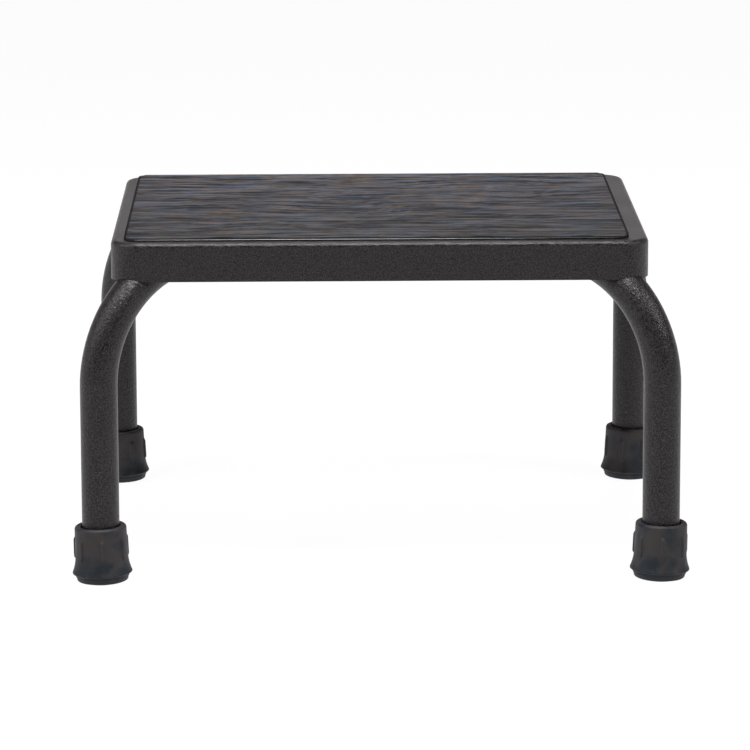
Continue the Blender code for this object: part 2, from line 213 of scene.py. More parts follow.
def eased(share):
    """A share from 0 to 1 with a soft start and end."""
    return share * share * (3 - 2 * share)


def add_piece(name, bm, finish, replaced, sharp=35.0):
    """Turn a bmesh into a smooth-shaded piece that rides on the stool and stands for CAD nodes;
    edges sharper than the given degrees stay crisp."""
    mesh = bpy.data.meshes.new(name)
    bm.to_mesh(mesh)
    bm.free()
    mesh.materials.append(finish)
    mesh.shade_smooth()
    mesh.set_sharp_from_angle(angle=math.radians(sharp))
    piece = bpy.data.objects.new(name, mesh)
    bpy.context.scene.collection.objects.link(piece)
    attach(piece, "root")
    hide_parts(*replaced)
    return piece


def add_cutter(name, bm):
    """A helper solid for one boolean, removed again when the piece is settled."""
    mesh = bpy.data.meshes.new(name)
    bm.to_mesh(mesh)
    bm.free()
    cutter = bpy.data.objects.new(name, mesh)
    bpy.context.scene.collection.objects.link(cutter)
    return cutter


def modify(piece, kind, **settings):
    """Add a modifier with its values."""
    modifier = piece.modifiers.new(kind.title(), kind)
    for key, value in settings.items():
        setattr(modifier, key, value)


def settle(piece, cutters=(), sharp=35.0):
    """Make the modified shape the piece's own mesh, remove the cutters and keep edges crisp."""
    evaluated = piece.evaluated_get(bpy.context.evaluated_depsgraph_get())
    piece.data = bpy.data.meshes.new_from_object(evaluated)
    piece.modifiers.clear()
    for cutter in cutters:
        bpy.data.objects.remove(cutter, do_unlink=True)
    piece.data.shade_smooth()
    piece.data.set_sharp_from_angle(angle=math.radians(sharp))
    modify(piece, "WEIGHTED_NORMAL", keep_sharp=True)


def rounded_block(low, high, corner, corner_steps, top_round, top_steps):
    """A block with its upright edges and its top edge rounded."""
    bm = bmesh.new()
    bmesh.ops.create_cube(bm, size=1.0)
    bmesh.ops.scale(bm, vec=high - low, verts=bm.verts)
    bmesh.ops.translate(bm, vec=(low + high) / 2, verts=bm.verts)
    tall = (high.z - low.z) / 2
    upright = [e for e in bm.edges if abs(e.verts[0].co.z - e.verts[1].co.z) > tall]
    bmesh.ops.bevel(
        bm, geom=upright, offset=corner, offset_type="OFFSET", affect="EDGES",
        segments=corner_steps, profile=0.5, material=-1)
    lid = max(bm.faces, key=lambda f: f.calc_center_median().z)
    bmesh.ops.bevel(
        bm, geom=list(lid.edges), offset=top_round, offset_type="OFFSET", affect="EDGES",
        segments=top_steps, profile=0.5, material=-1)
    return bm


def turned(points, steps):
    """Spin a half section of (radius, height) points about Z into a closed form."""
    bm = bmesh.new()
    verts = [bm.verts.new((radius, 0, height)) for radius, height in points]
    edges = [bm.edges.new(pair) for pair in zip(verts, verts[1:])]
    bmesh.ops.spin(
        bm, geom=verts + edges, cent=(0, 0, 0), axis=(0, 0, 1), angle=2 * math.pi, steps=steps,
        use_merge=True)
    bmesh.ops.remove_doubles(bm, verts=bm.verts, dist=MERGE_DISTANCE)
    bmesh.ops.recalc_face_normals(bm, faces=bm.faces)
    return bm


# ---------------------------------------------------------------- materials

def linear(code):
    """An sRGB hex colour as linear RGBA."""
    parts = [int(code[i:i + 2], 16) / 255 for i in (1, 3, 5)]
    return tuple(
        p / 12.92 if p <= 0.04045 else ((p + 0.055) / 1.055) ** 2.4 for p in parts) + (1.0,)


def per(size_mm):
    """The texture scale whose features are about this many millimetres wide."""
    return 1.0 / (size_mm * MM)


def add_node(tree, kind, inputs=None, **settings):
    """Add a node; an input given as a socket is linked, any other input is set."""
    new = tree.nodes.new(kind)
    for key, value in settings.items():
        setattr(new, key, value)
    for key, value in (inputs or {}).items():
        if isinstance(value, bpy.types.NodeSocket):
            tree.links.new(value, new.inputs[key])
        else:
            new.inputs[key].default_value = value
    return new


def new_material(name):
    """An empty material with its shader, its tree and its object coordinates."""
    result = bpy.data.materials.new(name)
    result.use_nodes = True
    tree = result.node_tree
    shader = tree.nodes["Principled BSDF"]
    place = add_node(tree, "ShaderNodeTexCoord").outputs["Object"]
    return result, tree, shader, place


def powder_coat():
    """Sand-textured polyester powder coat: a satin black skin of fine grains that sparkle where
    the light grazes them, a slower undulation from the melt and faint cloudiness.  The grains
    are drawn two to three times as coarse as real ones, so that they show.  The resin's IOR is
    matched below the usual 1.5, which keeps edges seen aslant from going pale."""
    result, tree, shader, place = new_material("sand-textured black polyester powder coat")
    grain = add_node(tree, "ShaderNodeTexNoise", {
        "Vector": place, "Scale": per(0.58), "Detail": 0.0})
    sand = add_node(tree, "ShaderNodeTexVoronoi", {"Vector": place, "Scale": per(0.9)})
    melt = add_node(tree, "ShaderNodeTexNoise", {
        "Vector": place, "Scale": per(2.4), "Detail": 0.0})
    cloud = add_node(tree, "ShaderNodeTexNoise", {
        "Vector": place, "Scale": per(45.0), "Detail": 3.0})

    sand_up = add_node(tree, "ShaderNodeMath", {
        0: sand.outputs["Distance"], 1: -0.4}, operation="MULTIPLY")
    fine = add_node(tree, "ShaderNodeMath", {
        0: grain.outputs["Fac"], 1: sand_up.outputs[0]}, operation="ADD")
    relief = add_node(tree, "ShaderNodeMath", {
        0: melt.outputs["Fac"], 1: 1.2, 2: fine.outputs[0]}, operation="MULTIPLY_ADD")
    bump = add_node(tree, "ShaderNodeBump", {
        "Strength": 1.0, "Distance": 0.19 * MM, "Height": relief.outputs[0]})

    shade = add_node(tree, "ShaderNodeMapRange", {
        "Value": grain.outputs["Fac"], "From Min": 0.47, "From Max": 0.62,
        "To Min": 0.0, "To Max": 1.0})
    colour = add_node(tree, "ShaderNodeMix", {
        "Factor": shade.outputs[0], "A": linear("#000000"), "B": linear("#352f33")},
        data_type="RGBA")
    gloss = add_node(tree, "ShaderNodeMapRange", {
        "Value": cloud.outputs["Fac"], "From Min": 0.35, "From Max": 0.65,
        "To Min": 0.34, "To Max": 0.38})

    tree.links.new(colour.outputs["Result"], shader.inputs["Base Color"])
    tree.links.new(gloss.outputs[0], shader.inputs["Roughness"])
    tree.links.new(bump.outputs[0], shader.inputs["Normal"])
    shader.inputs["IOR"].default_value = 1.3
    shader.inputs["Specular IOR Level"].default_value = 0.88
    return result


def mat_rubber():
    """Calendered ribbed sheet rubber: streaks drawn out along the ribs, about 5 mm wide and ten
    times as long, from cool blue-grey to warm brown-grey, with a soft sheen that comes and goes,
    dull trimmed ends darkened by painted shade, painted shade low in the grooves and round the
    bead, and a polished bead.  The dust is drawn coarser than real dust, so that it shows."""
    result, tree, shader, place = new_material("calendered ribbed SBR rubber")

    # Streaks: a slow warp bends coordinates that are drawn out along the ribs.
    warp = add_node(tree, "ShaderNodeTexNoise", {
        "Vector": place, "Scale": per(90.0), "Detail": 1.0})
    shift = add_node(tree, "ShaderNodeVectorMath", {
        0: warp.outputs["Color"], 1: (0.0, 32.0 * MM, 0.0)}, operation="MULTIPLY")
    bent = add_node(tree, "ShaderNodeVectorMath", {
        0: place, 1: shift.outputs[0]}, operation="ADD")
    drawn = add_node(tree, "ShaderNodeMapping", {
        "Vector": bent.outputs[0], "Scale": (0.10, 1.0, 1.0)})
    tone = add_node(tree, "ShaderNodeTexNoise", {
        "Vector": drawn.outputs[0], "Scale": per(5.0), "Detail": 4.0, "Roughness": 0.7})
    offset = add_node(tree, "ShaderNodeMapping", {
        "Vector": drawn.outputs[0], "Location": (0.3, 0.7, 0.0)})
    hue = add_node(tree, "ShaderNodeTexNoise", {
        "Vector": offset.outputs[0], "Scale": per(4.0), "Detail": 3.0, "Roughness": 0.6})
    hue_share = add_node(tree, "ShaderNodeMapRange", {
        "Value": hue.outputs["Fac"], "From Min": 0.42, "From Max": 0.58,
        "To Min": 0.0, "To Max": 1.0})
    cast = add_node(tree, "ShaderNodeMix", {
        "Factor": hue_share.outputs[0], "A": linear("#1f2835"), "B": linear("#342a23")},
        data_type="RGBA")
    tone_level = add_node(tree, "ShaderNodeMapRange", {
        "Value": tone.outputs["Fac"], "From Min": 0.37, "From Max": 0.63,
        "To Min": 0.15, "To Max": 1.9})

    # Where the mat is darker: painted shade along the cut ends and low down in the grooves and
    # round the bead, and a tone that darkens towards the front.
    split = add_node(tree, "ShaderNodeSeparateXYZ", {"Vector": place})
    from_middle = add_node(tree, "ShaderNodeMath", {
        0: split.outputs["X"], 1: MAT_MIDDLE.x}, operation="SUBTRACT")
    along = add_node(tree, "ShaderNodeMath", {0: from_middle.outputs[0]}, operation="ABSOLUTE")
    # Painted shade: the last 2 mm of each cut end darkened to stand in for the shadow along the
    # mat's edge.
    painted_end_shade = add_node(tree, "ShaderNodeMapRange", {
        "Value": along.outputs[0],
        "From Min": MAT_HALF.x - 1.9 * MM, "From Max": MAT_HALF.x - 1.4 * MM,
        "To Min": 1.0, "To Max": 0.12})
    # Darker towards the front, lighter towards the back.
    front_to_back_tone = add_node(tree, "ShaderNodeMapRange", {
        "Value": split.outputs["Y"], "From Min": MAT_LOW.y, "From Max": MAT_HIGH.y,
        "To Min": 0.60, "To Max": 1.45})
    # Painted shade: darker low down in the grooves and round the bead, where shade falls.
    painted_groove_shade = add_node(tree, "ShaderNodeMapRange", {
        "Value": split.outputs["Z"],
        "From Min": MAT_HIGH.z - 1.2 * MM, "From Max": MAT_HIGH.z - 0.8 * MM,
        "To Min": 0.15, "To Max": 1.0})
    tone_and_groove_shade = add_node(tree, "ShaderNodeMath", {
        0: front_to_back_tone.outputs[0], 1: painted_groove_shade.outputs[0]}, operation="MULTIPLY")
    # The tone with both painted shades laid over it.
    tone_and_painted_shade = add_node(tree, "ShaderNodeMath", {
        0: tone_and_groove_shade.outputs[0], 1: painted_end_shade.outputs[0]}, operation="MULTIPLY")
    level = add_node(tree, "ShaderNodeMath", {
        0: tone_level.outputs[0], 1: tone_and_painted_shade.outputs[0]}, operation="MULTIPLY")
    toned = add_node(tree, "ShaderNodeMix", {
        "Factor": 1.0, "A": cast.outputs["Result"], "B": level.outputs[0]},
        data_type="RGBA", blend_type="MULTIPLY")

    # Sheen: glossier on the pale streaks and on the bead, dull at the cut ends.
    sheen = add_node(tree, "ShaderNodeMapRange", {
        "Value": tone.outputs["Fac"], "From Min": 0.35, "From Max": 0.65,
        "To Min": 0.95, "To Max": 0.42})
    behind_bead = add_node(tree, "ShaderNodeMapRange", {
        "Value": split.outputs["Y"],
        "From Min": MAT_LOW.y + 1.7 * MM, "From Max": MAT_LOW.y + 2.0 * MM,
        "To Min": 0.14, "To Max": 1.0})
    dull_ends = add_node(tree, "ShaderNodeMath", {
        0: sheen.outputs[0], 1: painted_end_shade.outputs[0]}, operation="DIVIDE")
    gloss = add_node(tree, "ShaderNodeMath", {
        0: dull_ends.outputs[0], 1: behind_bead.outputs[0]},
        operation="MULTIPLY", use_clamp=True)
    dust = add_node(tree, "ShaderNodeTexNoise", {
        "Vector": place, "Scale": per(1.2), "Detail": 2.0})
    bump = add_node(tree, "ShaderNodeBump", {
        "Strength": 0.6, "Distance": 0.15 * MM, "Height": dust.outputs["Fac"]})

    tree.links.new(toned.outputs["Result"], shader.inputs["Base Color"])
    tree.links.new(gloss.outputs[0], shader.inputs["Roughness"])
    tree.links.new(bump.outputs[0], shader.inputs["Normal"])
    shader.inputs["IOR"].default_value = 1.5
    shader.inputs["Specular IOR Level"].default_value = 0.38
    return result


def tip_rubber():
    """Compression-moulded natural rubber: blue-black, matt, with a chalky bloom that gathers in
    patches, more towards the top, and a slightly pitted skin.  The pits are drawn at about 1 mm,
    coarser than real ones, so that they show."""
    result, tree, shader, place = new_material("compression-moulded black rubber")
    bloom = add_node(tree, "ShaderNodeTexNoise", {
        "Vector": place, "Scale": per(11.0), "Detail": 2.0, "Roughness": 0.5})
    pits = add_node(tree, "ShaderNodeTexNoise", {
        "Vector": place, "Scale": per(1.1), "Detail": 3.0})
    split = add_node(tree, "ShaderNodeSeparateXYZ", {"Vector": place})
    # Pale patches more towards the top, fewer low down.
    paler_towards_top = add_node(tree, "ShaderNodeMapRange", {
        "Value": split.outputs["Z"], "From Min": 9.0 * MM, "From Max": 21.0 * MM,
        "To Min": -0.06, "To Max": 0.06})
    chalk = add_node(tree, "ShaderNodeMath", {
        0: bloom.outputs["Fac"], 1: paler_towards_top.outputs[0]}, operation="ADD")
    patch = add_node(tree, "ShaderNodeMapRange", {
        "Value": chalk.outputs[0], "From Min": 0.40, "From Max": 0.62,
        "To Min": 0.0, "To Max": 1.0})
    colour = add_node(tree, "ShaderNodeMix", {
        "Factor": patch.outputs[0], "A": linear("#0d161f"), "B": linear("#302b2c")},
        data_type="RGBA")
    gloss = add_node(tree, "ShaderNodeMapRange", {
        "Value": bloom.outputs["Fac"], "From Min": 0.3, "From Max": 0.7,
        "To Min": 0.50, "To Max": 0.70})
    bump = add_node(tree, "ShaderNodeBump", {
        "Strength": 0.7, "Distance": 0.25 * MM, "Height": pits.outputs["Fac"]})
    tree.links.new(colour.outputs["Result"], shader.inputs["Base Color"])
    tree.links.new(gloss.outputs[0], shader.inputs["Roughness"])
    tree.links.new(bump.outputs[0], shader.inputs["Normal"])
    shader.inputs["IOR"].default_value = 1.5
    shader.inputs["Specular IOR Level"].default_value = 0.4
    return result


def zinc_plate():
    """Bright zinc-plated steel: a cool metal with a faint grain and clouded passivation.  The
    grain is drawn at 0.4 mm, coarser than real plating, so that it shows."""
    result, tree, shader, place = new_material("bright zinc-plated steel")
    cloud = add_node(tree, "ShaderNodeTexNoise", {
        "Vector": place, "Scale": per(5.0), "Detail": 3.0})
    grain = add_node(tree, "ShaderNodeTexNoise", {
        "Vector": place, "Scale": per(0.4), "Detail": 2.0})
    colour = add_node(tree, "ShaderNodeMix", {
        "Factor": cloud.outputs["Fac"], "A": linear("#b9bcc0"), "B": linear("#d6d4cb")},
        data_type="RGBA")
    gloss = add_node(tree, "ShaderNodeMapRange", {
        "Value": cloud.outputs["Fac"], "From Min": 0.3, "From Max": 0.7,
        "To Min": 0.24, "To Max": 0.40})
    bump = add_node(tree, "ShaderNodeBump", {
        "Strength": 0.3, "Distance": 0.03 * MM, "Height": grain.outputs["Fac"]})
    tree.links.new(colour.outputs["Result"], shader.inputs["Base Color"])
    tree.links.new(gloss.outputs[0], shader.inputs["Roughness"])
    tree.links.new(bump.outputs[0], shader.inputs["Normal"])
    shader.inputs["Metallic"].default_value = 1.0
    return result


# ---------------------------------------------------------------- leg tubes

def oval_bends(bm):
    """Narrow the tube in the plane of each bend and widen it across, as bending without a core
    does."""
    centre_x = HALF_DIAGONAL - BEND_RADIUS
    centre_z = RUN_HEIGHT - BEND_RADIUS
    for vert in bm.verts:
        across = abs(vert.co.x) - centre_x
        up = vert.co.z - centre_z
        if across <= 0 or up <= 0:
            continue
        turn = math.atan2(up, across)
        ease = eased(min(min(turn, math.pi / 2 - turn) / BEND_EASE, 1.0))
        reach = math.hypot(across, up)
        reach = BEND_RADIUS + (reach - BEND_RADIUS) * (1 - BEND_SQUEEZE * ease)
        vert.co.x = math.copysign(centre_x + reach * math.cos(turn), vert.co.x)
        vert.co.z = centre_z + reach * math.sin(turn)
        vert.co.y *= 1 + BEND_SPREAD * ease


def press_middle(bm, side):
    """Press the tube to half its height where it crosses the other; side is +1 up, -1 down."""
    for vert in bm.verts:
        away = abs(vert.co.x)
        if away > FLAT_REACH + FLAT_BLEND:
            continue
        press = eased(min((FLAT_REACH + FLAT_BLEND - away) / FLAT_BLEND, 1.0))
        half_height = TUBE_RADIUS + (FLAT_HALF_HEIGHT - TUBE_RADIUS) * press
        half_width = TUBE_RADIUS + (FLAT_HALF_WIDTH - TUBE_RADIUS) * press
        level = RUN_HEIGHT + side * (TUBE_RADIUS - half_height)
        vert.co.z = level + (vert.co.z - RUN_HEIGHT) * half_height / TUBE_RADIUS
        vert.co.y *= half_width / TUBE_RADIUS


def tube_skin(radius, foot, capped=False):
    """The round skin of one bent tube in its own upright plane, open at the feet unless capped."""
    bm = bmesh.new()
    bmesh.ops.create_circle(
        bm, cap_ends=False, segments=TUBE_SIDES, radius=radius,
        matrix=Matrix.Translation((-HALF_DIAGONAL, 0, foot)))
    first = bm.edges[:]
    ring = first

    def push(vector):
        """Draw the last ring out by a vector."""
        nonlocal ring
        new = bmesh.ops.extrude_edge_only(bm, edges=ring)["geom"]
        verts = [item for item in new if isinstance(item, bmesh.types.BMVert)]
        ring = [item for item in new if isinstance(item, bmesh.types.BMEdge)
                and all(v in new for v in item.verts)]
        bmesh.ops.translate(bm, vec=vector, verts=verts)

    def swing(centre_x):
        """Sweep the last ring through a quarter bend."""
        nonlocal ring
        verts = list({v for edge in ring for v in edge.verts})
        last = bmesh.ops.spin(
            bm, geom=verts + ring, cent=(centre_x, 0, RUN_HEIGHT - BEND_RADIUS), axis=(0, 1, 0),
            angle=math.pi / 2, steps=BEND_STEPS)["geom_last"]
        ring = [item for item in last if isinstance(item, bmesh.types.BMEdge)]

    straight = HALF_DIAGONAL - BEND_RADIUS
    pressed = FLAT_REACH + FLAT_BLEND
    push((0, 0, RUN_HEIGHT - BEND_RADIUS - foot))
    swing(-straight)
    push((straight - pressed, 0, 0))
    for _ in range(FLAT_STEPS):
        push((2 * pressed / FLAT_STEPS, 0, 0))
    push((straight - pressed, 0, 0))
    swing(straight)
    push((0, 0, foot - RUN_HEIGHT + BEND_RADIUS))
    if capped:
        bmesh.ops.holes_fill(bm, edges=first + ring, sides=TUBE_SIDES)
    bmesh.ops.recalc_face_normals(bm, faces=bm.faces)
    oval_bends(bm)
    return bm


def make_leg_tube(node, angle, side, finish):
    """One leg tube with its wall, its pressed middle and the two holes of each bolt."""
    bm = tube_skin(TUBE_RADIUS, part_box(node)[0].z)
    press_middle(bm, side)
    bmesh.ops.rotate(
        bm, verts=bm.verts, cent=(0, 0, 0), matrix=Matrix.Rotation(angle, 3, "Z"))
    tube = add_piece(f"bent_{node}", bm, finish, [node])
    modify(tube, "SOLIDIFY", thickness=TUBE_WALL, offset=-1.0, use_even_offset=True)
    cutters = []
    for reach in (-BOLT_REACH, BOLT_REACH):
        place = Vector((math.cos(angle), math.sin(angle), 0)) * reach
        for radius, way in ((LOWER_HOLE_RADIUS, -1), (UPPER_HOLE_RADIUS, 1)):
            centre = place + Vector((0, 0, RUN_HEIGHT + way * DRILL_LENGTH / 2))
            drill = bmesh.new()
            bmesh.ops.create_cone(
                drill, cap_ends=True, segments=DRILL_SIDES, radius1=radius, radius2=radius,
                depth=DRILL_LENGTH, matrix=Matrix.Translation(centre))
            cutter = add_cutter("drill", drill)
            modify(tube, "BOOLEAN", operation="DIFFERENCE", solver="EXACT", object=cutter)
            cutters.append(cutter)
    settle(tube, cutters)


# ---------------------------------------------------------------- platform and mat

def make_pan(finish):
    """The pressed platform: rounded lid and skirt, coped at the corners for the tubes."""
    bm = rounded_block(PAN_LOW, PAN_HIGH, CORNER_RADIUS, CORNER_STEPS, FOLD_RADIUS, FOLD_STEPS)
    base = min(bm.faces, key=lambda f: f.calc_center_median().z)
    bmesh.ops.delete(bm, geom=[base], context="FACES_ONLY")
    pan = add_piece("pressed_platform", bm, finish, ["platform_pan"])
    modify(pan, "SOLIDIFY", thickness=SHEET, offset=-1.0, use_even_offset=True)
    cutters = []
    for angle in (DIAGONAL_ANGLE, -DIAGONAL_ANGLE):
        skin = tube_skin(TUBE_RADIUS + COPE_CLEARANCE, COPE_FOOT, capped=True)
        bmesh.ops.rotate(
            skin, verts=skin.verts, cent=(0, 0, 0), matrix=Matrix.Rotation(angle, 3, "Z"))
        cutter = add_cutter("cope", skin)
        modify(pan, "BOOLEAN", operation="DIFFERENCE", solver="EXACT", object=cutter)
        cutters.append(cutter)
    modify(
        pan, "BEVEL", width=CUT_EDGE_ROUND, segments=2, limit_method="ANGLE",
        angle_limit=CREASE_ANGLE, harden_normals=False)
    settle(pan, cutters)


def mat_section():
    """The mat's section across its ribs, as (y, z) points: bead, riser, ribs and flat base."""
    low, high = MAT_LOW, MAT_HIGH
    points = []
    for step in range(BEAD_STEPS + 1):
        angle = math.pi * (1 - step / BEAD_STEPS)
        points.append((
            low.y + BEAD_RADIUS * (1 + math.cos(angle)),
            high.z - BEAD_DROP - BEAD_RADIUS * (1 - math.sin(angle))))
    riser = low.y + 2 * BEAD_RADIUS + BEAD_GROOVE
    points.append((riser, high.z - BEAD_GROOVE_DEPTH))
    for step in range(RISER_STEPS):
        angle = math.pi / 2 * step / RISER_STEPS
        points.append((
            riser + RISER_ROUND * (1 - math.cos(angle)),
            high.z - RISER_ROUND * (1 - math.sin(angle))))
    # The riser ends level with a crest, so the first rib starts at its own.
    ribs_start = riser + RISER_ROUND
    pitch = (high.y - ribs_start) / RIB_COUNT
    for rib in range(RIB_COUNT):
        for share in RIB_SHARES:
            if rib or share >= CREST_SHARE:
                drop = RIB_DEPTH * abs(2 * share - 1) ** RIB_SQUARENESS
                points.append((ribs_start + (rib + share) * pitch, high.z - drop))
    return points + [(high.y, high.z - RIB_DEPTH), (high.y, low.z), (low.y, low.z)]


def make_mat(finish):
    """The ribbed mat: its section drawn out along X and trimmed to its rounded outline."""
    low, high = MAT_LOW, MAT_HIGH
    bm = bmesh.new()
    section = bm.faces.new([bm.verts.new((low.x - MAT_OVERRUN, y, z)) for y, z in mat_section()])
    drawn = bmesh.ops.extrude_face_region(bm, geom=[section])["geom"]
    moved = [item for item in drawn if isinstance(item, bmesh.types.BMVert)]
    bmesh.ops.translate(bm, vec=(high.x - low.x + 2 * MAT_OVERRUN, 0, 0), verts=moved)
    bmesh.ops.recalc_face_normals(bm, faces=bm.faces)
    mat = add_piece("ribbed_mat", bm, finish, ["tread_mat"])
    trim = add_cutter("trim", rounded_block(
        low - TRIM_CLEARANCE, high + TRIM_CLEARANCE, MAT_CORNER, MAT_CORNER_STEPS,
        MAT_EDGE_ROUND, MAT_EDGE_STEPS))
    modify(mat, "BOOLEAN", operation="INTERSECT", solver="EXACT", object=trim)
    settle(mat, [trim], sharp=55.0)


# ---------------------------------------------------------------- rubber tips

def curve_points(start, end, sag, count):
    """Points from start to end on a shallow curve that bows by sag towards the axis."""
    result = []
    for step in range(1, count + 1):
        t = step / count
        radius = start[0] + (end[0] - start[0]) * t - sag * 4 * t * (1 - t)
        result.append((radius, start[1] + (end[1] - start[1]) * t))
    return result


def arc_points(centre, radius, first, last, count):
    """Points of an arc in the half section, angles in degrees from +r towards +z."""
    result = []
    for step in range(count + 1):
        angle = math.radians(first + (last - first) * step / count)
        result.append((centre[0] + radius * math.cos(angle), centre[1] + radius * math.sin(angle)))
    return result


def tip_section():
    """Half section of a tip, given in millimetres: bore, rolled lip, wall, flare, stepped sole
    and its rings."""
    wall_foot = (WALL_FOOT_RADIUS, WALL_FOOT_HEIGHT)
    flare_foot = (FLARE_RADIUS, FLARE_HEIGHT)
    points = [
        (0.0, BORE_FLOOR), (BORE_RADIUS - BORE_CHAMFER, BORE_FLOOR),
        (BORE_RADIUS, BORE_FLOOR + BORE_CHAMFER), (BORE_RADIUS, LIP_START)]
    points += arc_points(
        (BORE_RADIUS + LIP_RADIUS, LIP_HEIGHT), LIP_RADIUS, 190, 90, LIP_STEPS)
    points += arc_points(
        (WALL_TOP_RADIUS - LIP_RADIUS, LIP_HEIGHT), LIP_RADIUS, 90, 0, LIP_STEPS)
    points += curve_points((WALL_TOP_RADIUS, LIP_HEIGHT), wall_foot, 0.0, WALL_STEPS)
    points += curve_points(wall_foot, flare_foot, FLARE_SAG, FLARE_STEPS)
    # Two steps down from the flare to the sole.
    points += [(20.3, 5.7), (19.9, 5.3), (18.5, 4.9), (18.1, 4.6), (18.1, 3.0), (17.8, 2.7)]
    points += [(17.5, 2.6), (17.4, 2.3), (17.4, 1.0), (17.0, 0.35), (16.4, 0.0)]
    for ring in SOLE_RINGS:
        points += [
            (ring + 0.7, 0.0), (ring + 0.5, SOLE_GROOVE_DEPTH),
            (ring - 0.5, SOLE_GROOVE_DEPTH), (ring - 0.7, 0.0)]
    points += [(3.0, 0.0), (2.6, 1.2), (0.0, 1.2)]
    return [(radius * MM, height * MM) for radius, height in points]


def fin_rise(turn, height):
    """How far a fin stands out of the wall at a turn from its middle and a height."""
    half_width = FIN_HALF_WIDTH
    if height <= FIN_SHOULDER:
        half_width *= max(height - FIN_POINT, 0.0) / (FIN_SHOULDER - FIN_POINT)
    flank = (half_width - abs(turn) * WALL_FOOT_RADIUS * MM) / FIN_FLANK
    top = (FIN_TOP - height) / FIN_TOP_SLOPE
    return FIN_PROUD * eased(max(0.0, min(1.0, flank, top)))


def make_tip(corner, side, finish):
    """A moulded tip with its fins, its foot leaning inwards and its sole flat on the floor."""
    node = f"rubber_tip_{corner}"
    centre = middle(node)
    bm = turned(tip_section(), FIN_COUNT * FIN_STEPS)
    facing = math.radians(FIN_FACING[corner])
    pitch = 2 * math.pi / FIN_COUNT
    for vert in bm.verts:
        reach = math.hypot(vert.co.x, vert.co.y)
        if reach < FIN_INNER_LIMIT or vert.co.z > FIN_TOP or vert.co.z < FIN_POINT:
            continue
        turn = (math.atan2(vert.co.y, vert.co.x) - facing + pitch / 2) % pitch - pitch / 2
        grown = (reach + fin_rise(turn, vert.co.z)) / reach
        vert.co.x *= grown
        vert.co.y *= grown
    lean = Matrix.Rotation(side * TIP_LEAN, 3, "Y")
    bmesh.ops.rotate(bm, verts=bm.verts, cent=(0, 0, TIP_PIVOT), matrix=lean)
    bmesh.ops.translate(bm, vec=(centre.x, centre.y, 0), verts=bm.verts)
    for vert in bm.verts:
        vert.co.z = max(vert.co.z, 0.0)
    add_piece(f"moulded_tip_{corner}", bm, finish, [node], sharp=40.0)


# ---------------------------------------------------------------- fasteners

def make_bolt(corner, finish):
    """A hex bolt, head down: chamfered head with a washer face, and its shank."""
    node = f"leg_bolt_{corner}"
    base = middle(node)
    base.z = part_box(node)[0].z
    bm = bmesh.new()
    bmesh.ops.create_cone(
        bm, cap_ends=True, segments=6, radius1=HEAD_RADIUS, radius2=HEAD_RADIUS,
        depth=HEAD_DEPTH, matrix=Matrix.Translation(base + Vector((0, 0, HEAD_DEPTH / 2))))
    bolt = add_piece(f"hex_bolt_{corner}", bm, finish, [node])
    cone = bmesh.new()
    bmesh.ops.create_cone(
        cone, cap_ends=True, segments=CHAMFER_SIDES, radius1=CHAMFER_RADIUS,
        radius2=CHAMFER_RADIUS + CHAMFER_SPREAD, depth=CHAMFER_DEPTH,
        matrix=Matrix.Translation(base + Vector((0, 0, CHAMFER_DEPTH / 2))))
    chamfer = add_cutter("chamfer", cone)
    modify(bolt, "BOOLEAN", operation="INTERSECT", solver="EXACT", object=chamfer)
    shaft = turned([
        (0, FACE_START), (FACE_RADIUS, FACE_START), (FACE_RADIUS, FACE_END),
        (SHANK_RADIUS, FACE_END), (SHANK_RADIUS, SHANK_TAPER_START),
        (SHANK_END_RADIUS, SHANK_END), (0, SHANK_END)], SHANK_SIDES)
    bmesh.ops.translate(shaft, vec=base, verts=shaft.verts)
    shank = add_cutter("shank", shaft)
    modify(bolt, "BOOLEAN", operation="UNION", solver="EXACT", object=shank)
    settle(bolt, [chamfer, shank])


def make_lock_washer(corner, finish):
    """A split spring washer, its ends a little out of line."""
    node = f"lock_washer_{corner}"
    base = middle(node)
    base.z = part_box(node)[0].z
    bm = bmesh.new()
    outline = (
        (SPRING_INNER, SPRING_LOW), (SPRING_OUTER, SPRING_LOW),
        (SPRING_OUTER, SPRING_HIGH), (SPRING_INNER, SPRING_HIGH))
    start = bm.faces.new([bm.verts.new((radius, 0, height)) for radius, height in outline])
    bmesh.ops.spin(
        bm, geom=[start], cent=(0, 0, 0), axis=(0, 0, 1), angle=SPRING_TURN,
        steps=SPRING_STEPS, dvec=(0, 0, SPRING_OFFSET / SPRING_STEPS))
    bmesh.ops.recalc_face_normals(bm, faces=bm.faces)
    bmesh.ops.translate(bm, vec=base, verts=bm.verts)
    washer = add_piece(f"spring_washer_{corner}", bm, finish, [node])
    modify(
        washer, "BEVEL", width=SPRING_EDGE_ROUND, segments=2, limit_method="ANGLE",
        angle_limit=CREASE_ANGLE)
    settle(washer)


# ---------------------------------------------------------------- room, light and camera

def area_light(name, place, aim, size, power):
    """A rectangular soft light that looks at a point."""
    data = bpy.data.lights.new(name, "AREA")
    data.shape = "RECTANGLE"
    data.size, data.size_y = size
    data.energy = power
    light = bpy.data.objects.new(name, data)
    light.location = place
    way = Vector(aim) - Vector(place)
    light.rotation_euler = way.to_track_quat("-Z", "Y").to_euler()
    bpy.context.scene.collection.objects.link(light)


